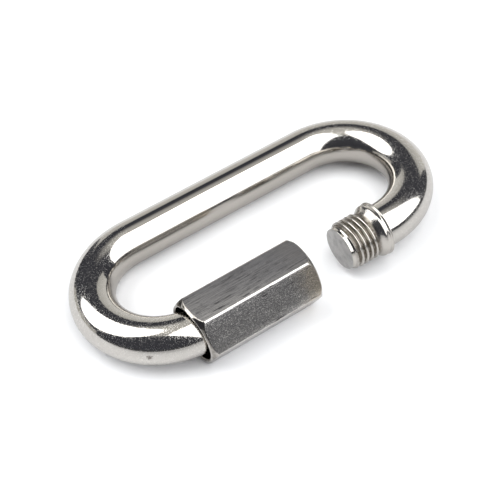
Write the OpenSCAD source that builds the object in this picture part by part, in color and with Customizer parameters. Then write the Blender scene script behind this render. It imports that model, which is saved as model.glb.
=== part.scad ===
// Oval screw-lock link: one bent round bar with two threaded ends in line, and a long hex sleeve nut that
// screws across the gap between them. It is modelled open and lying down: one flat of the nut and the far arm
// touch Z = 0, so the plane of the link leans a few degrees about X. The long axis of the link is along X.

/* [Bar] */
// Diameter of the round bar
bar_d = 8; // [7.8:0.1:8.2]
// Length of the clear space inside the link
inner_l = 54; // [52:1:64]
// Width of the clear space inside the link
inner_w = 17; // [16:0.5:22]

/* [Threads] */
// Outside diameter of the rolled threads, a little over the bar
thread_d = 8.7; // [8.5:0.1:8.7]
// Pitch of both threads
thread_pitch = 1; // [0.8:0.1:1.25]
// Depth of the thread from crest to root
thread_depth = 0.55; // [0.4:0.05:0.6]
// X of the long threaded end's tip, inside the nut
long_tip_x = 1.2; // [0:0.1:1.4]
// X of the short threaded end's flat tip
short_tip_x = 9.1; // [8:0.1:10]

/* [Collar] */
// X at which the shoulder starts, where the closed nut stops
collar_x = 14.5; // [14.3:0.1:14.8]
// Length of the shoulder and its lip together
collar_l = 2.6; // [2.4:0.1:2.8]
// Diameter of the lip
collar_d = 9.9; // [9.6:0.1:10.2]

/* [Sleeve nut] */
// Size of the nut across its flats
nut_af = 11; // [11:0.5:13]
// Length of the nut
nut_l = 22.2; // [21:0.1:23]
// X of the nut's right end with the link open
nut_end_x = 1.55; // [1.5:0.05:2]
// Width of the rounded land that blunts each long corner
corner_land = 0.22; // [0.2:0.02:0.6]
// Gap all round between the thread crests and the nut's bore
bore_gap = 0.05; // [0.03:0.01:0.1]
// Diameter of the counterbore that clears the start of the bend
counterbore_d = 9.8; // [9.2:0.1:10]
// Depth of the counterbore
counterbore_l = 3.2; // [3:0.1:4]
// How far below the flats each end face stops
end_drop = 0.2; // [0.15:0.05:0.3]
// Length of the left chamfer on the flats
left_chamfer = 0.4; // [0.2:0.05:0.6]
// Length of the left chamfer at the corners
left_corner = 1; // [0.7:0.05:1.3]
// Length of the right chamfer on the flats
right_chamfer = 0.2; // [0.1:0.05:0.5]
// Length of the right chamfer at the corners
right_corner = 1.05; // [0.7:0.05:1.4]

/* [Hidden] */
$fn = 96;
bar_r = bar_d / 2;
bend_r = (inner_w + bar_d) / 2;                // radius of the bends at the centre of the bar
bend_x = (inner_l - inner_w) / 2;              // X of the centre of each bend
tilt = asin((nut_af - bar_d) / 4 / bend_r);    // lean of the link's plane, nut side up
plane_z = (nut_af + bar_d) / 4;                // height of the middle of the link's plane
crest_r = thread_d / 2;
root_r = crest_r - thread_depth;
ridge_foot = 0.84 * thread_pitch;              // width of a thread ridge at its root
ridge_top = 0.22 * thread_pitch;               // width of a thread ridge at its crest
lead_l = 0.45;                                 // plain lead-in before the first ridge
nut_start_x = nut_end_x - nut_l;
thread_start_x = nut_start_x + counterbore_l + 0.3;
bore_r = crest_r + bore_gap;
land_angle = corner_land / nut_af * 180 / PI;  // half the land's angle, seen from the axis
corner_r = nut_af / 2 / cos(30 - land_angle);
centre_y = (corner_r - bar_r) / 2;             // puts the middle of the whole width at Y = 0
step = 0.01;                                   // cutters run past the faces by this much

// from the link's own plane to the way it lies on the ground
module lay_down() {
    translate([0, centre_y, plane_z]) rotate([-tilt, 0, 0]) children();
}

// an outline turned about the X axis: its own X lies along the axis and its Y is the radius
module turned() {
    rotate([0, 90, 0]) rotate_extrude() mirror([1, -1, 0]) children();
}

// plain round rod from x0 to x1
module rod(x0, x1, r) {
    turned() translate([x0, 0]) square([x1 - x0, r]);
}

// threaded rod from x0 to x1, its ridges standing on the core
module threaded_rod(x0, x1) {
    count = floor((x1 - x0 - ridge_foot) / thread_pitch);
    rod(x0, x1, root_r);
    for (i = [0 : count]) {
        turned() translate([x0 + i * thread_pitch, 0]) polygon([
            [0, root_r - 0.1],
            [0, root_r],
            [(ridge_foot - ridge_top) / 2, crest_r],
            [(ridge_foot + ridge_top) / 2, crest_r],
            [ridge_foot, root_r],
            [ridge_foot, root_r - 0.1]
        ]);
    }
}

// round shoulder that swells from the end of the thread, a shallow groove, then a thin sharp lip
module collar() {
    lip_r = collar_d / 2;
    turned() polygon([
        [0, 0],
        [0, root_r],
        [0.3, crest_r],
        [0.8, lip_r - 0.3],
        [1.4, lip_r - 0.1],
        [collar_l - 0.7, lip_r - 0.1],
        [collar_l - 0.5, lip_r - 0.25],
        [collar_l - 0.3, lip_r],
        [collar_l, lip_r],
        [collar_l, 0]
    ]);
}

// half a turn of the bar at one end of the link
module bend(side) {
    translate([side * bend_x, 0, 0]) rotate([0, 0, side > 0 ? -90 : 90]) rotate_extrude(angle = 180)
        translate([bend_r, 0]) circle(r = bar_r);
}

module link_body() {
    color([0.72, 0.72, 0.71]) lay_down() {
        bend(-1);
        bend(1);
        translate([0, bend_r, 0]) rod(-bend_x, bend_x, bar_r);
        translate([0, -bend_r, 0]) {
            rod(-bend_x, thread_start_x, bar_r);
            threaded_rod(thread_start_x, long_tip_x - lead_l);
            rod(long_tip_x - lead_l, long_tip_x, root_r);
            rod(short_tip_x, short_tip_x + lead_l, root_r);
            threaded_rod(short_tip_x + lead_l, collar_x);
            translate([collar_x, 0, 0]) collar();
            rod(collar_x + collar_l, bend_x, bar_r);
        }
    }
}

// hexagon with flats above and below, its corners and both ends turned to the outline
module nut_blank() {
    flat_r = nut_af / 2;
    intersection() {
        translate([nut_start_x, 0, 0]) rotate([0, 90, 0]) rotate([0, 0, 30])
            cylinder(h = nut_l, r = flat_r / cos(30), $fn = 6);
        turned() polygon([
            [nut_start_x, 0],
            [nut_start_x, flat_r - end_drop],
            [nut_start_x + left_chamfer, flat_r],
            [nut_start_x + left_corner, corner_r],
            [nut_end_x - right_corner, corner_r],
            [nut_end_x - right_chamfer, flat_r],
            [nut_end_x, flat_r - end_drop],
            [nut_end_x, 0]
        ]);
    }
}

// threaded hole left plain, the deep counterbore at the left end and the countersink at the right
module nut_bore() {
    mouth_r = counterbore_d / 2;
    turned() polygon([
        [nut_start_x - step, 0],
        [nut_start_x - step, mouth_r + 0.2],
        [nut_start_x + 0.2, mouth_r],
        [nut_start_x + counterbore_l, mouth_r],
        [nut_start_x + counterbore_l, bore_r],
        [nut_end_x - 0.6, bore_r],
        [nut_end_x + step, bore_r + 0.6],
        [nut_end_x + step, 0]
    ]);
}

module sleeve_nut() {
    color([0.5, 0.49, 0.48]) translate([0, centre_y - bend_r * cos(tilt), nut_af / 2]) difference() {
        nut_blank();
        nut_bore();
    }
}

link_body();
sleeve_nut();
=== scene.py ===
import math

import bpy
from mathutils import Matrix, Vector, noise as clouds


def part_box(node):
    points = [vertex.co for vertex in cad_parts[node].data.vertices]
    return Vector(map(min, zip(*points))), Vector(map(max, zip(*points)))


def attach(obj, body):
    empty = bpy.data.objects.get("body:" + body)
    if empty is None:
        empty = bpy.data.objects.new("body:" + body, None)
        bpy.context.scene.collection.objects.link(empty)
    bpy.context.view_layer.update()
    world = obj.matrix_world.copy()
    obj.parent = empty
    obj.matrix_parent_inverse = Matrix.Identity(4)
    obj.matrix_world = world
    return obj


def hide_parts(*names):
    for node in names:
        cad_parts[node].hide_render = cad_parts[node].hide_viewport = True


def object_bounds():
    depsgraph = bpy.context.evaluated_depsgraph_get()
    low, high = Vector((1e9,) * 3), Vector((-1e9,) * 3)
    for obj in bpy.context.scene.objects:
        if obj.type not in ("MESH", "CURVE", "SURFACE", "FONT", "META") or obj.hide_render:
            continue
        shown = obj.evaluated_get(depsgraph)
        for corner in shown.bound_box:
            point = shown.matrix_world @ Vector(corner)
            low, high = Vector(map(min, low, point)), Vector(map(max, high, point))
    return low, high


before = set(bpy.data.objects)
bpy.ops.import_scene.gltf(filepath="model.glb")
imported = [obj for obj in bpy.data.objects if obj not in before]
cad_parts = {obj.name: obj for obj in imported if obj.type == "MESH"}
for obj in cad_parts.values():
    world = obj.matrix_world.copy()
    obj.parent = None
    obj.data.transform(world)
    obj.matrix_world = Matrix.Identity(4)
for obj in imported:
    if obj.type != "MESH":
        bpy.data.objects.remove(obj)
cadLow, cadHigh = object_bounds()
mm = 0.001

# sizes of the bent bar, in metres like everything here
bar = {
    "diameter": 8.0 * mm,
    "roundSteps": 120,         # quads round the bar
    "bendSteps": 90,           # rings in each half turn
    "armStep": 0.9 * mm,       # ring spacing on plain straight bar
    "longTip": 1.2 * mm,       # where the end inside the nut stops
    "longThread": -17.6 * mm,  # where its thread starts, a little before the nut's
    "shortTip": 9.1 * mm,      # where the open end stops
    "shoulder": 14.5 * mm,     # where its thread meets the swollen shoulder
    "lipEnd": 17.1 * mm,       # the far side of the thin lip behind the shoulder
    "tipRadius": 3.80 * mm,
    "tipSwell": 0.06 * mm,     # how much thicker the core is in the open end's first turns
    "tipBulge": 0.06 * mm,     # how domed the sawn tips are
    "leadIn": 0.45 * mm,       # plain length before the open end's first ridge
    "lipWobble": 0.05 * mm,    # how uneven the pressed lip is
}
thread = {
    "crest": 4.35 * mm,
    "root": 3.80 * mm,
    "pitch": 1.0 * mm,
    "step": 1.0 * mm / 16,     # ring spacing along a thread
    "runOut": 1.0 * mm,        # length over which a thread rises and dies away
}

# the frame gives the lines that the bar runs along
linkLow, linkHigh = (Vector(v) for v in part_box("link_body"))
nutLow, nutHigh = (Vector(v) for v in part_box("sleeve_nut"))
barRadius = bar["diameter"] / 2
nutAxis = (nutLow + nutHigh) / 2
farAxis = Vector((0, linkHigh.y - barRadius, linkLow.z + barRadius))
across = Vector((0, farAxis.y - nutAxis.y, farAxis.z - nutAxis.z))
bendRadius = across.length / 2
acrossDir = across.normalized()
alongX = Vector((1, 0, 0))
planeUp = alongX.cross(acrossDir)
linkCentre = Vector((0, (farAxis.y + nutAxis.y) / 2, (farAxis.z + nutAxis.z) / 2))
bendX = linkHigh.x - barRadius - bendRadius
print(f"placed: bend radius {bendRadius / mm:.2f} mm, bends at x {bendX / mm:.2f} mm")


def smooth(t):
    t = max(0.0, min(1.0, t))
    return t * t * (3 - 2 * t)


# how far up the flank a point is, 0 in the valley and 1 on the crest of a right-hand thread
def ridge(x, turn):
    u = (x / thread["pitch"] - turn) % 1.0
    return smooth((0.42 - abs(u - 0.5)) / 0.36)


def turnOf(direction):
    return math.atan2(direction.z, direction.y) / (2 * math.pi)


def addNode(tree, kind, **settings):
    node = tree.nodes.new(kind)
    for key, value in settings.items():
        setattr(node, key, value)
    return node


# fills a node's input sockets by name with numbers, colours or other nodes' outputs
def feed(tree, node, **sockets):
    for key, value in sockets.items():
        socket = node.inputs[int(key[1:])] if key[1:].isdigit() else node.inputs[key.replace("_", " ")]
        if isinstance(value, bpy.types.NodeSocket):
            tree.links.new(value, socket)
        else:
            socket.default_value = value
    return node


def calc(tree, operation, a, b=0.0, clamp=False):
    node = addNode(tree, "ShaderNodeMath", operation=operation, use_clamp=clamp)
    return feed(tree, node, i0=a, i1=b).outputs[0]


# a soft step from 0 at low to 1 at high
def ramp(tree, value, low, high, toLow=0.0, toHigh=1.0):
    node = addNode(tree, "ShaderNodeMapRange", interpolation_type="SMOOTHSTEP")
    feed(tree, node, Value=value, From_Min=low, From_Max=high, To_Min=toLow, To_Max=toHigh)
    return node.outputs["Result"]


def mixColour(tree, share, a, b):
    node = addNode(tree, "ShaderNodeMix", data_type="RGBA")
    return feed(tree, node, i0=share, i6=a, i7=b).outputs[2]


# object coordinates in millimetres, stretched by the given factors
def millimetres(tree, stretch=(1, 1, 1)):
    coords = addNode(tree, "ShaderNodeTexCoord")
    scaled = addNode(tree, "ShaderNodeVectorMath", operation="MULTIPLY")
    feed(tree, scaled, i0=coords.outputs["Object"], i1=[1000.0 * s for s in stretch])
    return scaled.outputs[0]


def noise(tree, coords, scale, detail=2.0):
    node = addNode(tree, "ShaderNodeTexNoise")
    return feed(tree, node, Vector=coords, Scale=scale, Detail=detail).outputs["Fac"]


def newGroup(name, inputs, outputs):
    group = bpy.data.node_groups.new(name, "ShaderNodeTree")
    for key, value in inputs.items():
        kind = "NodeSocketVector" if value is None else "NodeSocketFloat"
        socket = group.interface.new_socket(key, in_out="INPUT", socket_type=kind)
        if value is not None:
            socket.default_value = value
    for key in outputs:
        group.interface.new_socket(key, in_out="OUTPUT", socket_type="NodeSocketFloat")
    start = group.nodes.new("NodeGroupInput")
    end = group.nodes.new("NodeGroupOutput")
    return group, start.outputs, end.inputs


# tiny grains raised on some cells of a cell pattern, and how dull each cell is
def makeGrainGroup():
    group, given, result = newGroup(
        "raisedGrain", {"Vector": None, "Per mm": 5.0, "Share": 0.3}, ["Height", "Dull"]
    )
    cells = addNode(group, "ShaderNodeTexVoronoi")
    feed(group, cells, Vector=given["Vector"], Scale=given["Per mm"])
    chance = addNode(group, "ShaderNodeSeparateColor")
    feed(group, chance, Color=cells.outputs["Color"])
    chosen = calc(group, "LESS_THAN", chance.outputs[0], given["Share"])
    hump = ramp(group, cells.outputs["Distance"], 0.0, 0.6, 1.0, 0.0)
    sized = calc(group, "MULTIPLY", hump, chance.outputs[1])
    group.links.new(calc(group, "MULTIPLY", sized, chosen), result["Height"])
    soft = ramp(group, cells.outputs["Distance"], 0.25, 0.75, 1.0, 0.0)
    speck = calc(group, "MULTIPLY", calc(group, "MULTIPLY", soft, chance.outputs[2]), chosen)
    group.links.new(speck, result["Dull"])
    return group


# long fine lines that drawing or polishing leaves along the part, with a few deeper scores
def makeLineGroup():
    group, given, result = newGroup(
        "lengthwiseLines", {"Vector": None, "Per mm": 8.0, "Scores": 0.3}, ["Height", "Score"]
    )
    long = addNode(group, "ShaderNodeVectorMath", operation="MULTIPLY")
    feed(group, long, i0=given["Vector"], i1=(0.035, 1, 1))
    fine = addNode(group, "ShaderNodeTexNoise")
    feed(group, fine, Vector=long.outputs[0], Scale=given["Per mm"], Detail=3.0)
    broken = addNode(group, "ShaderNodeVectorMath", operation="MULTIPLY")
    feed(group, broken, i0=given["Vector"], i1=(0.07, 1, 1))
    deep = addNode(group, "ShaderNodeTexNoise")
    feed(group, deep, Vector=broken.outputs[0], Scale=4.6, Detail=1.0)
    edge = calc(group, "SUBTRACT", 1.0, calc(group, "MULTIPLY", given["Scores"], 0.5))
    near = calc(group, "SUBTRACT", deep.outputs["Fac"], calc(group, "MULTIPLY", edge, 0.8))
    score = calc(group, "MULTIPLY", near, 14.0, clamp=True)
    cut = calc(group, "SUBTRACT", fine.outputs["Fac"], score)
    group.links.new(cut, result["Height"])
    group.links.new(score, result["Score"])
    return group


# soft blotches of dirt or dulling
def makeBlotchGroup():
    group, given, result = newGroup("blotches", {"Vector": None, "Per mm": 0.6, "Cover": 0.5}, ["Mask"])
    cloud = addNode(group, "ShaderNodeTexNoise")
    feed(group, cloud, Vector=given["Vector"], Scale=given["Per mm"], Detail=5.0, Roughness=0.65)
    edge = calc(group, "SUBTRACT", 0.8, calc(group, "MULTIPLY", given["Cover"], 0.6))
    over = calc(group, "SUBTRACT", cloud.outputs["Fac"], edge)
    group.links.new(calc(group, "MULTIPLY", over, 5.0, clamp=True), result["Mask"])
    return group


grainGroup = makeGrainGroup()
lineGroup = makeLineGroup()
blotchGroup = makeBlotchGroup()


def useGroup(tree, group, coords, **values):
    node = addNode(tree, "ShaderNodeGroup", node_tree=group)
    return feed(tree, node, Vector=coords, **values).outputs


def newMaterial(name, metallic=1.0):
    mat = bpy.data.materials.new(name)
    mat.use_nodes = True
    tree = mat.node_tree
    tree.nodes.clear()
    out = tree.nodes.new("ShaderNodeOutputMaterial")
    shader = tree.nodes.new("ShaderNodeBsdfPrincipled")
    shader.inputs["Metallic"].default_value = metallic
    tree.links.new(shader.outputs["BSDF"], out.inputs["Surface"])
    return mat, tree, shader


# joins heights in millimetres into one bump on the shader
def bumpBy(tree, shader, *heights):
    total = heights[0]
    for height in heights[1:]:
        total = calc(tree, "ADD", total, height)
    bump = addNode(tree, "ShaderNodeBump")
    feed(tree, bump, Height=total, Distance=mm, Strength=1.0)
    tree.links.new(bump.outputs["Normal"], shader.inputs["Normal"])


polish = {
    "colour": (0.60, 0.58, 0.545, 1),
    "dull": (0.50, 0.475, 0.44, 1),
    "grainColour": (0.82, 0.80, 0.76, 1),
    "nickColour": (0.20, 0.18, 0.16, 1),
    "roughness": 0.055,
    "rightRoughness": 0.105,   # on the right bend, which is buffed a little less
    "grainRoughness": 0.29,    # of the tiny grains that bending raised
    "throatRoughness": 0.15,   # inside the loop, where the buff doesn't reach
    "grain": 0.0036,           # heights in millimetres, full on the bends
    "grainPerMm": 7.4,
    "peel": 0.002,
    "straightShare": 0.10,     # how much of all this is left on the straight arms
    "nick": (-28.75, -11.7, 6.1),    # millimetres, where something has struck the left bend
    "nickSize": 1.0,
    "nickDepth": 0.03,
}


# 1 in the throat of the loop, falling to 0 towards the top of the bar
def throatMask(tree, coords):
    place = addNode(tree, "ShaderNodeVectorMath", operation="SUBTRACT")
    feed(tree, place, i0=coords, i1=linkCentre / mm)
    apart = addNode(tree, "ShaderNodeSeparateXYZ")
    feed(tree, apart, Vector=place.outputs[0])
    past = calc(tree, "SUBTRACT", calc(tree, "ABSOLUTE", apart.outputs[0]), bendX / mm)
    past = calc(tree, "POWER", calc(tree, "MAXIMUM", past, 0.0), 2.0)
    reach = calc(tree, "SQRT", calc(tree, "ADD", past, calc(tree, "POWER", apart.outputs[1], 2.0)))
    inner = (bendRadius - barRadius) / mm
    return ramp(tree, reach, inner + 0.1, inner + 1.6, 1.0, 0.0)


def polishedSteel():
    p = polish
    mat, tree, shader = newMaterial("polishedSteel")
    coords = millimetres(tree)
    along = addNode(tree, "ShaderNodeSeparateXYZ")
    feed(tree, along, Vector=coords)
    fromMiddle = calc(tree, "ABSOLUTE", along.outputs[0])
    bent = ramp(tree, fromMiddle, bendX / mm - 4, bendX / mm + 3, p["straightShare"], 1.0)
    calmer = ramp(tree, along.outputs[0], 0.0, 20.0, 1.0, 0.85)
    throat = throatMask(tree, coords)
    outside = calc(tree, "SUBTRACT", 1.0, throat)
    worked = calc(tree, "MULTIPLY", calc(tree, "MULTIPLY", bent, calmer), outside)
    grains = useGroup(tree, grainGroup, coords, Per_mm=p["grainPerMm"], Share=0.55)
    grain = calc(tree, "MULTIPLY", grains["Height"], worked)
    speck = calc(tree, "MULTIPLY", grains["Dull"], worked)
    peel = calc(tree, "MULTIPLY", noise(tree, coords, 2.2, 2.0), worked)
    lines = useGroup(tree, lineGroup, coords, Per_mm=6.0, Scores=0.1)
    lineHeight = calc(tree, "MULTIPLY", lines["Height"], ramp(tree, throat, 0.0, 1.0, 0.0004, 0.0012))
    stains = useGroup(tree, blotchGroup, coords, Per_mm=0.9, Cover=0.4)
    stainsAndThroatShade = calc(tree, "MAXIMUM", stains["Mask"], throat)
    toNick = addNode(tree, "ShaderNodeVectorMath", operation="DISTANCE")
    feed(tree, toNick, i0=coords, i1=p["nick"])
    ragged = calc(tree, "MULTIPLY", noise(tree, coords, 6.0, 1.0), 1.5)
    torn = calc(tree, "ADD", toNick.outputs["Value"], ragged)
    nick = ramp(tree, torn, p["nickSize"], p["nickSize"] + 0.2, 1.0, 0.0)
    # painted shade: the throat of the loop is darkened with the same colour as the real stains
    colour = mixColour(tree, stainsAndThroatShade, p["colour"], p["dull"])
    colour = mixColour(tree, speck, colour, p["grainColour"])
    feed(tree, shader, Base_Color=mixColour(tree, nick, colour, p["nickColour"]))
    buffed = ramp(tree, along.outputs[0], 8.0, 24.0, p["roughness"], p["rightRoughness"])
    grainy = ramp(tree, speck, 0.0, 0.7, buffed, p["grainRoughness"])
    unbuffed = ramp(tree, throat, 0.0, 1.0, 0.0, p["throatRoughness"])
    feed(tree, shader, Roughness=calc(tree, "MAXIMUM", grainy, unbuffed))
    bumpBy(
        tree, shader,
        calc(tree, "MULTIPLY", peel, p["peel"]),
        calc(tree, "MULTIPLY", grain, p["grain"]),
        calc(tree, "MULTIPLY", nick, -p["nickDepth"]),
        lineHeight,
    )
    return mat


rolled = {
    "crest": (0.60, 0.575, 0.535, 1),
    "valley": (0.13, 0.11, 0.085, 1),
    "roughness": 0.10,
    "valleyRoughness": 0.38,
    "swellRoughness": 0.19,
}


# steel that thread rolls have pressed, darker down in the valleys
def rolledSteel(name):
    p = rolled
    mat, tree, shader = newMaterial(name)
    coords = millimetres(tree)
    place = addNode(tree, "ShaderNodeVectorMath", operation="MULTIPLY_ADD")
    feed(tree, place, i0=coords, i1=(0, 1, 1), i2=(0, -nutAxis.y / mm, -nutAxis.z / mm))
    radius = addNode(tree, "ShaderNodeVectorMath", operation="LENGTH")
    feed(tree, radius, i0=place.outputs[0])
    low = ramp(tree, radius.outputs["Value"], thread["root"] / mm, thread["crest"] / mm, 1.0, 0.0)
    along = addNode(tree, "ShaderNodeSeparateXYZ")
    feed(tree, along, Vector=coords)
    fromTip = calc(tree, "ABSOLUTE", calc(tree, "SUBTRACT", along.outputs[0], bar["shortTip"] / mm))
    low = calc(tree, "MULTIPLY", low, ramp(tree, fromTip, 0.45, 1.1))
    dirt = useGroup(tree, blotchGroup, coords, Per_mm=1.6, Cover=0.75)
    patchy = calc(tree, "ADD", calc(tree, "MULTIPLY", dirt["Mask"], 0.45), 0.55)
    # the valleys are given a darker colour, in patches
    valleyDarkening = calc(tree, "MULTIPLY", low, patchy)
    around = useGroup(tree, grainGroup, coords, Per_mm=4.0, Share=0.5)
    feed(tree, shader, Base_Color=mixColour(tree, valleyDarkening, p["crest"], p["valley"]))
    swellStart = bar["shoulder"] / mm
    swell = ramp(tree, along.outputs[0], swellStart, swellStart + 0.6, 0.0, p["swellRoughness"])
    rough = ramp(tree, valleyDarkening, 0.0, 1.0, p["roughness"], p["valleyRoughness"])
    feed(tree, shader, Roughness=calc(tree, "MAXIMUM", rough, swell))
    bumpBy(
        tree, shader,
        calc(tree, "MULTIPLY", around["Height"], 0.004),
        calc(tree, "MULTIPLY", noise(tree, coords, 2.0, 2.0), 0.02),
    )
    return mat


drawn = {
    "colour": (0.51, 0.497, 0.487, 1),
    "litUpperColour": (0.78, 0.76, 0.74, 1),      # the flat that faces up is painted lighter, as painted light from above
    "streak": (0.39, 0.382, 0.376, 1),
    "speck": (0.80, 0.78, 0.74, 1),
    "scored": (0.13, 0.125, 0.13, 1),
    "warm": (0.74, 0.64, 0.49, 1),
    "roughness": 0.11,
    "grainRoughness": 0.19,
    "clean": 0.90,                 # how metallic the cleanest and the dullest parts are
    "dull": 0.82,
    "linePerMm": 7.0,
    "line": 0.0022,
    "grain": 0.0012,
    "grainPerMm": 4.4,
    "speckShare": 1.0,             # how strong the specks are, and on the upper flat
    "upperShare": 0.45,
    "warmShare": 0.65,             # how strong the handled patch at the right end is
}


def drawnSteel():
    p = drawn
    mat, tree, shader = newMaterial("drawnSteel")
    coords = millimetres(tree)
    lines = useGroup(tree, lineGroup, coords, Per_mm=p["linePerMm"], Scores=0.42)
    grains = useGroup(tree, grainGroup, coords, Per_mm=5.5, Share=0.8)
    along = addNode(tree, "ShaderNodeSeparateXYZ")
    feed(tree, along, Vector=coords)
    upper = ramp(tree, along.outputs[2], nutHigh.z / mm - 0.5, nutHigh.z / mm - 0.1)
    handled = ramp(tree, along.outputs[0], nutHigh.x / mm - 6, nutHigh.x / mm - 1)
    handled = calc(tree, "MULTIPLY", handled, ramp(tree, upper, 0.0, 1.0, 1.0, 0.2))
    blotch = useGroup(tree, blotchGroup, coords, Per_mm=0.35, Cover=0.8)
    warmth = calc(tree, "MULTIPLY", handled, blotch["Mask"])
    streak = ramp(tree, lines["Height"], 0.36, 0.60)
    # painted light: the upper flat is given a lighter colour than the other flats
    worn = mixColour(tree, streak, p["streak"], mixColour(tree, upper, p["colour"], p["litUpperColour"]))
    fine = noise(tree, coords, p["grainPerMm"], 1.0)
    speck = ramp(tree, fine, 0.46, 0.68)
    share = ramp(tree, upper, 0.0, 1.0, p["speckShare"], p["upperShare"])
    worn = mixColour(tree, calc(tree, "MULTIPLY", speck, share), worn, p["speck"])
    worn = mixColour(tree, calc(tree, "MULTIPLY", warmth, p["warmShare"]), worn, p["warm"])
    feed(tree, shader, Base_Color=mixColour(tree, lines["Score"], worn, p["scored"]))
    feed(tree, shader, Roughness=ramp(tree, grains["Dull"], 0.0, 0.8, p["roughness"], p["grainRoughness"]))
    filmed = ramp(tree, lines["Height"], 0.3, 0.65, 1.0, 0.0)
    feed(tree, shader, Metallic=ramp(tree, filmed, 0.0, 1.0, p["clean"], p["dull"]))
    bumpBy(
        tree, shader,
        calc(tree, "MULTIPLY", lines["Height"], p["line"]),
        calc(tree, "MULTIPLY", grains["Height"], p["grain"]),
    )
    return mat


rubbed = {
    "colour": (0.62, 0.60, 0.57, 1),
    "dirt": (0.42, 0.38, 0.33, 1),
    "chamferShade": (0.28, 0.265, 0.24, 1),     # painted shade on the left chamfer, behind its bright rim
    "roughness": (0.07, 0.16),
}


# the rubbed corners, chamfers and ends of the nut
def rubbedSteel():
    p = rubbed
    mat, tree, shader = newMaterial("rubbedSteel")
    coords = millimetres(tree)
    dirt = useGroup(tree, blotchGroup, coords, Per_mm=1.3, Cover=0.5)
    place = addNode(tree, "ShaderNodeVectorMath", operation="MULTIPLY_ADD")
    feed(tree, place, i0=coords, i1=(0, 1, 1), i2=(0, -nutAxis.y / mm, -nutAxis.z / mm))
    radius = addNode(tree, "ShaderNodeVectorMath", operation="LENGTH")
    feed(tree, radius, i0=place.outputs[0])
    along = addNode(tree, "ShaderNodeSeparateXYZ")
    feed(tree, along, Vector=coords)
    rim = (nutHigh.z - nutLow.z) / 2 / mm - 0.12
    behindRim = ramp(tree, radius.outputs["Value"], rim, rim + 0.1)
    atLeft = ramp(tree, along.outputs[0], nutLow.x / mm + 0.7, nutLow.x / mm + 1.4, 1.0, 0.0)
    shadeUnevenness = ramp(tree, noise(tree, coords, 2.0, 2.0), 0.3, 0.6, 0.6, 1.0)
    # painted shade: the left chamfer behind its rim is darkened, unevenly
    chamferShade = calc(tree, "MULTIPLY", calc(tree, "MULTIPLY", behindRim, atLeft), shadeUnevenness)
    colour = mixColour(tree, dirt["Mask"], p["colour"], p["dirt"])
    feed(tree, shader, Base_Color=mixColour(tree, chamferShade, colour, p["chamferShade"]))
    feed(tree, shader, Roughness=ramp(tree, noise(tree, coords, 2.0, 4.0), 0.3, 0.7, *p["roughness"]))
    bumpBy(tree, shader, calc(tree, "MULTIPLY", noise(tree, coords, 4.0, 3.0), 0.008))
    return mat


sawn = {
    "colour": (0.52, 0.515, 0.505, 1),
    "smear": (0.40, 0.395, 0.39, 1),
    "roughness": (0.34, 0.55),
    "sawMarks": 0.03,          # heights in millimetres
    "unevenness": 0.06,
}


def sawnSteel():
    p = sawn
    mat, tree, shader = newMaterial("sawnSteel")
    coords = millimetres(tree)
    streaks = noise(tree, millimetres(tree, (1, 0.3, 1.2)), 6.0, 4.0)
    smears = useGroup(tree, blotchGroup, coords, Per_mm=0.7, Cover=0.6)
    feed(tree, shader, Base_Color=mixColour(tree, smears["Mask"], p["colour"], p["smear"]))
    feed(tree, shader, Roughness=ramp(tree, streaks, 0.3, 0.7, *p["roughness"]))
    bumpBy(
        tree, shader,
        calc(tree, "MULTIPLY", streaks, p["sawMarks"]),
        calc(tree, "MULTIPLY", noise(tree, coords, 1.1, 2.0), p["unevenness"]),
    )
    return mat


# quads between rings of points, each ring closed on itself
def ringFaces(count, roundSteps, closed=False):
    faces = []
    for i in range(count if closed else count - 1):
        a = i * roundSteps
        b = (i + 1) % count * roundSteps
        for k in range(roundSteps):
            n = (k + 1) % roundSteps
            faces.append((a + k, a + n, b + n, b + k))
    return faces


def makePiece(name, verts, faces, body, node):
    mesh = bpy.data.meshes.new(name)
    mesh.from_pydata(verts, [], faces)
    mesh.validate()
    mesh.shade_smooth()
    piece = bpy.data.objects.new(name, mesh)
    bpy.context.scene.collection.objects.link(piece)
    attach(piece, body)
    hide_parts(node)
    return piece


def spaced(a, b, step):
    count = max(1, round(abs(b - a) / step))
    return [a + (b - a) * i / count for i in range(count + 1)]


def blendPoints(points, x):
    for (x0, r0), (x1, r1) in zip(points, points[1:]):
        if x <= x1:
            return r0 + (r1 - r0) * smooth((x - x0) / (x1 - x0))
    return points[-1][1]


# distance past the end of the thread and radius, in millimetres: a swell, a groove and a thin lip
shoulderOutline = [(0.0, 3.88), (1.5, 4.82), (2.12, 4.71), (2.38, 4.93), (2.5, 4.93), (2.66, 4.0)]


def shortRadius(x, turn):
    into = x - bar["shortTip"]
    if x < bar["shoulder"]:
        lead = smooth(into / (0.9 * mm))
        core = bar["tipRadius"] + (thread["root"] + bar["tipSwell"] - bar["tipRadius"]) * lead
        rise = smooth((into - bar["leadIn"]) / thread["runOut"])
        die = smooth((bar["shoulder"] - x) / (0.3 * mm))
        settled = smooth(into / (2.2 * mm)) * bar["tipSwell"]
        return core - settled + (thread["crest"] - thread["root"]) * ridge(x, turn) * rise * die
    angle = 2 * math.pi * turn
    wobble = bar["lipWobble"] * clouds.noise(Vector((math.cos(angle), math.sin(angle), 0)) * 2.3)
    return blendPoints(shoulderOutline, (x - bar["shoulder"] + wobble) / mm) * mm


def longRadius(x, turn):
    start = smooth((x - bar["longThread"]) / thread["runOut"])
    end = smooth((bar["longTip"] - 0.3 * mm - x) / thread["runOut"])
    core = barRadius + (thread["root"] - barRadius) * start
    taper = 0.25 * mm * smooth((x - bar["longTip"] + 0.4 * mm) / (0.4 * mm))
    return core + (thread["crest"] - thread["root"]) * ridge(x, turn) * start * end - taper


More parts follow.
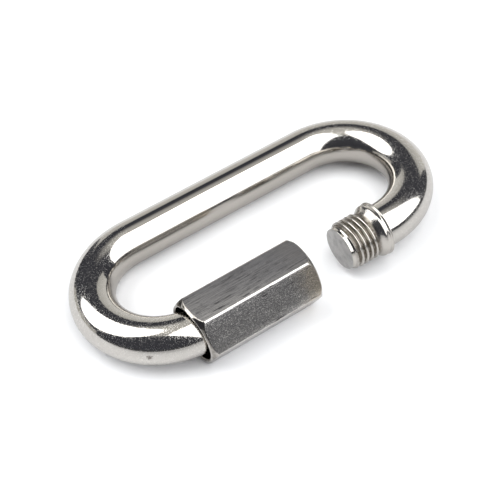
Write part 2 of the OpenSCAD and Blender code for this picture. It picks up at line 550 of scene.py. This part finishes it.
# rings that shrink to a slightly domed middle, so that a sawn tip is closed
def tipFaces(verts, ring, centre, outwards, flip):
    faces = []
    roundSteps = bar["roundSteps"]
    last = ring * roundSteps
    rim = [verts[last + k].copy() for k in range(roundSteps)]
    for share in (0.985, 0.96, 0.85, 0.7, 0.55, 0.4, 0.25, 0.1):
        first = len(verts)
        bulge = outwards * bar["tipBulge"] * (1 - share * share)
        verts.extend(centre + (p - centre) * share + bulge for p in rim)
        for k in range(roundSteps):
            n = (k + 1) % roundSteps
            quad = (last + k, last + n, first + n, first + k)
            faces.append(quad[::-1] if flip else quad)
        last = first
    verts.append(centre + outwards * bar["tipBulge"])
    for k in range(roundSteps):
        tri = (last + k, last + (k + 1) % roundSteps, len(verts) - 1)
        faces.append(tri[::-1] if flip else tri)
    return faces


def makeLink():
    roundSteps = bar["roundSteps"]
    verts = []
    rolledFaces = []

    def addRing(centre, outward, radiusAt=None):
        for k in range(roundSteps):
            angle = 2 * math.pi * k / roundSteps
            direction = outward * math.cos(angle) + planeUp * math.sin(angle)
            radius = radiusAt(turnOf(direction)) if radiusAt else barRadius
            verts.append(centre + direction * radius)

    def addArm(stations, side, radiusAt=None, isRolled=False):
        for x in stations:
            start = len(verts)
            ringRadius = (lambda turn: radiusAt(x, turn)) if radiusAt else None
            addRing(linkCentre + acrossDir * bendRadius * side + alongX * x, acrossDir * side, ringRadius)
            if isRolled:
                rolledFaces.extend(range(start - roundSteps, start))

    def addBend(side):
        for i in range(1, bar["bendSteps"] + 1):
            angle = math.pi * i / bar["bendSteps"]
            outward = (alongX * math.sin(angle) - acrossDir * math.cos(angle)) * side
            addRing(linkCentre + alongX * bendX * side + outward * bendRadius, outward)

    lipEnd = bar["lipEnd"] + 0.1 * mm
    addArm([bar["shortTip"]], -1, shortRadius)
    addArm(spaced(bar["shortTip"], bar["shoulder"], thread["step"])[1:], -1, shortRadius, True)
    addArm(spaced(bar["shoulder"], lipEnd, 0.04 * mm)[1:], -1, shortRadius, True)
    addArm(spaced(lipEnd, bendX, bar["armStep"])[1:], -1)
    addBend(1)
    addArm(spaced(bendX, -bendX, bar["armStep"])[1:], 1)
    addBend(-1)
    addArm(spaced(-bendX, bar["longThread"], bar["armStep"])[1:], -1)
    addArm(spaced(bar["longThread"], bar["longTip"], thread["step"])[1:], -1, longRadius, True)
    rings = len(verts) // roundSteps
    faces = ringFaces(rings, roundSteps)
    nearArm = linkCentre - acrossDir * bendRadius
    tips = tipFaces(verts, 0, nearArm + alongX * bar["shortTip"], -alongX, True)
    tips += tipFaces(verts, rings - 1, nearArm + alongX * bar["longTip"], alongX, False)
    piece = makePiece("link_bar", verts, faces + tips, "link", "link_body")
    for mat in (polishedSteel(), rolledSteel("rolledThread"), sawnSteel()):
        piece.data.materials.append(mat)
    for i in rolledFaces:
        piece.data.polygons[i].material_index = 1
    for i in range(len(faces), len(faces) + len(tips)):
        piece.data.polygons[i].material_index = 2
    return piece


link = makeLink()
print(f"link bar: {len(link.data.polygons)} faces")

nut = {
    "land": 0.23 * mm,             # width of the worn strip along each corner
    "boreRadius": 4.42 * mm,       # to the bottom of the thread's valleys
    "counterboreRadius": 4.92 * mm,
    "counterboreDepth": 3.2 * mm,
    "mouth": 0.18 * mm,            # how far the counterbore flares at its mouth
    "leftChamfer": (0.38 * mm, 0.95 * mm),     # length on the flats and at the corners
    "rightChamfer": (0.18 * mm, 1.05 * mm),
    "leftLean": 0.33 * mm,         # how far the left end leans each way, as it isn't cut square
    "chamferDrop": 0.20 * mm,      # how far below the flats the end faces stop
    "flatSteps": 28,               # quads round each sixth
}


# rounds the corners of an open outline: points are x, radius and how far back the rounding starts
def rounded(points, steps=4):
    out = []
    for i, (x, r, back) in enumerate(points):
        if back == 0 or i in (0, len(points) - 1):
            out.append((x, r))
            continue
        here = Vector((x, r))
        before = Vector(points[i - 1][:2]) - here
        after = Vector(points[i + 1][:2]) - here
        reach = min(back, 0.45 * before.length, 0.45 * after.length)
        a = here + before.normalized() * reach
        b = here + after.normalized() * reach
        for s in range(steps + 1):
            t = s / steps
            p = a.lerp(here, t).lerp(here.lerp(b, t), t)
            out.append((p.x, p.y))
    return out


def makeNut():
    x0, x1 = nutLow.x, nutHigh.x
    flat = (nutHigh.z - nutLow.z) / 2
    half = math.pi / 6
    cornerRadius = flat / math.cos(half)
    landRadius = flat / math.cos(half - nut["land"] / 2 / cornerRadius)
    steps = nut["flatSteps"]
    angles = []
    for side in range(6):
        for s in range(steps):
            t = 2 * s / steps - 1                    # -1 and 1 are the corners
            bunched = math.copysign(1 - (1 - abs(t)) ** 2.6, t)
            angles.append(2 * half * side + half * bunched)
    counterEnd = x0 + nut["counterboreDepth"]
    threadStart = x1 - 0.75 * mm
    threadXs = spaced(threadStart, counterEnd, thread["step"])
    columns = []
    for angle in angles:
        off = (angle + half) % (2 * half) - half
        plain = flat / math.cos(off)
        melt = 0.014 * mm
        gap = max(melt - abs(plain - landRadius), 0.0) / melt
        outer = min(plain, landRadius) - gap * gap * melt / 4
        share = min(1.0, (outer - flat) / (landRadius - flat)) ** 2.0
        chamfers = (nut["leftChamfer"], nut["rightChamfer"])
        left, right = (low + (high - low) * share for low, high in chamfers)
        wall, bore = nut["counterboreRadius"], nut["boreRadius"]
        end = x0 + nut["leftLean"] * math.sin(angle)
        outline = rounded([
            (counterEnd, bore, 0),
            (counterEnd, wall, 0.1 * mm),
            (end + 0.16 * mm, wall, 0.06 * mm),
            (end, wall + nut["mouth"], 0.05 * mm),
            (end, flat - nut["chamferDrop"], 0.08 * mm),
            (end + left, outer, 0.12 * mm),
            (x1 - right, outer, 0.10 * mm),
            (x1, flat - nut["chamferDrop"], 0.10 * mm),
            (x1, bore + 0.6 * mm, 0.06 * mm),
            (x1 - 0.62 * mm, bore, 0),
        ])
        turn = (angle + math.pi / 2) / (2 * math.pi)     # angles start from +Z, turns from +Y
        for x in threadXs:
            inside = smooth(min(threadStart - x, x - counterEnd) / (0.6 * mm))
            outline.append((x, bore - (thread["crest"] - thread["root"]) * inside * (1 - ridge(x, turn))))
        columns.append(outline)
    count = len(columns[0])
    verts = []
    for i in range(count):
        for angle, outline in zip(angles, columns):
            x, r = outline[i]
            verts.append(Vector((x, nutAxis.y - r * math.sin(angle), nutAxis.z + r * math.cos(angle))))
    faces = ringFaces(count, len(angles), closed=True)
    piece = makePiece("hex_sleeve", verts, faces, "nut", "sleeve_nut")
    for mat in (drawnSteel(), rubbedSteel(), rolledSteel("nutThread")):
        piece.data.materials.append(mat)
    for poly in piece.data.polygons:
        spot = poly.center - nutAxis
        reach = math.hypot(spot.y, spot.z)
        around = (math.atan2(-spot.y, spot.z) + half) % (2 * half) - half
        onFlat = abs(reach * math.cos(around) - flat) < 0.004 * mm
        poly.material_index = 0 if onFlat else 1 if reach > nut["counterboreRadius"] + 0.01 * mm else 2
    return piece


sleeve = makeNut()
print(f"sleeve nut: {len(sleeve.data.polygons)} faces")

studio = {
    "reach": 2.0,                      # distance of the soft boxes
    "boxStrength": 2.7,                # brightness of their faces
    "room": (0.060, 0.062, 0.074),     # the unlit room round them
    "ceiling": (0.64, 0.63, 0.60),
    "horizon": (0.075, 0.075, 0.077),
    "cardLow": (0.86, 0.85, 0.82),
    "cardHigh": (0.58, 0.57, 0.545),
    "floor": (0.70, 0.70, 0.71),       # as the steel reflects it, near the part
    "floorFarShade": (0.42, 0.42, 0.425),   # and further off in front, painted darker as shade
    "floorSeen": (0.96, 0.97, 0.985),  # as the camera sees it, so that it stays plain white
}


# a point seen from the part at an azimuth anticlockwise from +X and an angle down from overhead
def polar(azimuth, fromZenith, distance=1.0):
    a, t = math.radians(azimuth), math.radians(fromZenith)
    return Vector((math.cos(a) * math.sin(t), math.sin(a) * math.sin(t), math.cos(t))) * distance


# a soft box that faces the part: its half width and the span of its height are shares of its distance
def softBox(name, shape, azimuth, fromZenith, halfWidth, low, high):
    d = studio["reach"]
    away, up = polar(azimuth, fromZenith), polar(azimuth, fromZenith - 90)
    data = bpy.data.lights.new(name, "AREA")
    data.shape = shape
    data.size, data.size_y = 2 * halfWidth * d, (high - low) * d
    data.energy = studio["boxStrength"] * math.pi * data.size * data.size_y
    lamp = bpy.data.objects.new(name, data)
    lamp.location = (away + up * (low + high) / 2) * d
    lamp.rotation_mode = "QUATERNION"
    lamp.rotation_quaternion = away.to_track_quat("Z", "Y")
    lamp.visible_camera = False
    bpy.context.scene.collection.objects.link(lamp)


def stageMesh(name, corners, mat):
    mesh = bpy.data.meshes.new(name)
    mesh.from_pydata(corners, [], [(0, 1, 2, 3)])
    mesh.materials.append(mat)
    obj = bpy.data.objects.new(name, mesh)
    bpy.context.scene.collection.objects.link(obj)
    return obj


# a pale upright card, brighter low down, that only the steel sees
def paleCard(name, fromAzimuth, toAzimuth, top, low, high):
    mat = bpy.data.materials.new(name)
    mat.use_nodes = True
    tree = mat.node_tree
    tree.nodes.clear()
    place = addNode(tree, "ShaderNodeTexCoord")
    height = addNode(tree, "ShaderNodeSeparateXYZ")
    feed(tree, height, Vector=place.outputs["Generated"])
    glow = addNode(tree, "ShaderNodeEmission")
    feed(tree, glow, Color=mixColour(tree, height.outputs[2], (*low, 1), (*high, 1)))
    out = addNode(tree, "ShaderNodeOutputMaterial")
    feed(tree, out, Surface=glow.outputs[0])
    d = 3.0
    corners = ((fromAzimuth, 90), (toAzimuth, 90), (toAzimuth, top), (fromAzimuth, top))
    card = stageMesh(name, [polar(azimuth, down, d) for azimuth, down in corners], mat)
    card.visible_camera = False
    card.visible_shadow = False
    card.visible_diffuse = False


def makeWorld():
    world = bpy.data.worlds.new("studioRoom")
    bpy.context.scene.world = world
    world.use_nodes = True
    tree = world.node_tree
    tree.nodes.clear()
    look = addNode(tree, "ShaderNodeTexCoord").outputs["Generated"]
    overhead = addNode(tree, "ShaderNodeVectorMath", operation="DOT_PRODUCT")
    feed(tree, overhead, i0=look, i1=polar(45, 8))
    ceiling = ramp(tree, overhead.outputs["Value"], math.cos(math.radians(35)), math.cos(math.radians(12)))
    height = addNode(tree, "ShaderNodeSeparateXYZ")
    feed(tree, height, Vector=look)
    horizon = ramp(tree, height.outputs[2], 0.0, 0.16, 1.0, 0.0)
    colour = mixColour(tree, horizon, (*studio["room"], 1), (*studio["horizon"], 1))
    colour = mixColour(tree, ceiling, colour, (*studio["ceiling"], 1))
    room = feed(tree, addNode(tree, "ShaderNodeBackground"), Color=colour)
    seen = feed(tree, addNode(tree, "ShaderNodeBackground"), Color=(1, 1, 1, 1), Strength=1.02)
    path = addNode(tree, "ShaderNodeLightPath")
    mix = addNode(tree, "ShaderNodeMixShader")
    feed(tree, mix, Fac=path.outputs["Is Camera Ray"], i1=room.outputs[0], i2=seen.outputs[0])
    feed(tree, addNode(tree, "ShaderNodeOutputWorld"), Surface=mix.outputs[0])


def makeStudio():
    cardLow, cardHigh = studio["cardLow"], studio["cardHigh"]
    softBox("softBoxLeft", "ELLIPSE", azimuth=138, fromZenith=45, halfWidth=0.46, low=-0.52, high=0.72)
    softBox("softBoxRight", "RECTANGLE", azimuth=306, fromZenith=60, halfWidth=0.65, low=-0.31, high=1.56)
    paleCard("backCard", fromAzimuth=12, toAzimuth=85, top=63, low=cardLow, high=cardHigh)
    paleCard("lowCard", fromAzimuth=112, toAzimuth=160, top=79, low=cardHigh, high=cardHigh)
    mat, tree, shader = newMaterial("paleFloor", metallic=0.0)
    path = addNode(tree, "ShaderNodeLightPath")
    inFront = addNode(tree, "ShaderNodeVectorMath", operation="DOT_PRODUCT")
    feed(tree, inFront, i0=millimetres(tree), i1=polar(260, 90))
    off = ramp(tree, inFront.outputs["Value"], 12.0, 80.0)
    # painted shade: the floor that the steel reflects is darker further off in front
    paper = mixColour(tree, off, (*studio["floor"], 1), (*studio["floorFarShade"], 1))
    paper = mixColour(tree, path.outputs["Is Camera Ray"], paper, (*studio["floorSeen"], 1))
    feed(tree, shader, Base_Color=paper, Roughness=0.9, Specular_IOR_Level=0.0)
    size = 3.2
    stageMesh("floor", [(-size, -size, 0), (size, -size, 0), (size, size, 0), (-size, size, 0)], mat)
    makeWorld()
    bpy.context.scene.view_settings.view_transform = "Standard"


makeStudio()
print("studio: floor, two soft boxes and two pale cards")

shot = {
    "azimuth": -28.17,
    "elevation": 48.64,
    "roll": -7.19,
    "distance": 192.1 * mm,
    "lens": 79.6,
    "aim": Vector((-2.5, -0.8, -1.65)) * mm,     # from the middle of the part
}


def makeCamera():
    a, e = math.radians(shot["azimuth"]), math.radians(shot["elevation"])
    back = Vector((math.sin(a) * math.cos(e), -math.cos(a) * math.cos(e), math.sin(e)))
    data = bpy.data.cameras.new("camera")
    data.lens = shot["lens"]
    data.clip_start, data.clip_end = 0.01, 20
    camera = bpy.data.objects.new("camera", data)
    bpy.context.scene.collection.objects.link(camera)
    middle = (Vector(cadLow) + Vector(cadHigh)) / 2
    camera.location = middle + shot["aim"] + back * shot["distance"]
    turn = (-back).to_track_quat("-Z", "Y").to_matrix()
    roll = math.radians(shot["roll"])
    right, up = turn.col[0].copy(), turn.col[1].copy()
    turn.col[0] = right * math.cos(roll) + up * math.sin(roll)
    turn.col[1] = up * math.cos(roll) - right * math.sin(roll)
    camera.rotation_mode = "QUATERNION"
    camera.rotation_quaternion = turn.to_quaternion()
    bpy.context.scene.camera = camera


makeCamera()
bpy.context.view_layer.update()
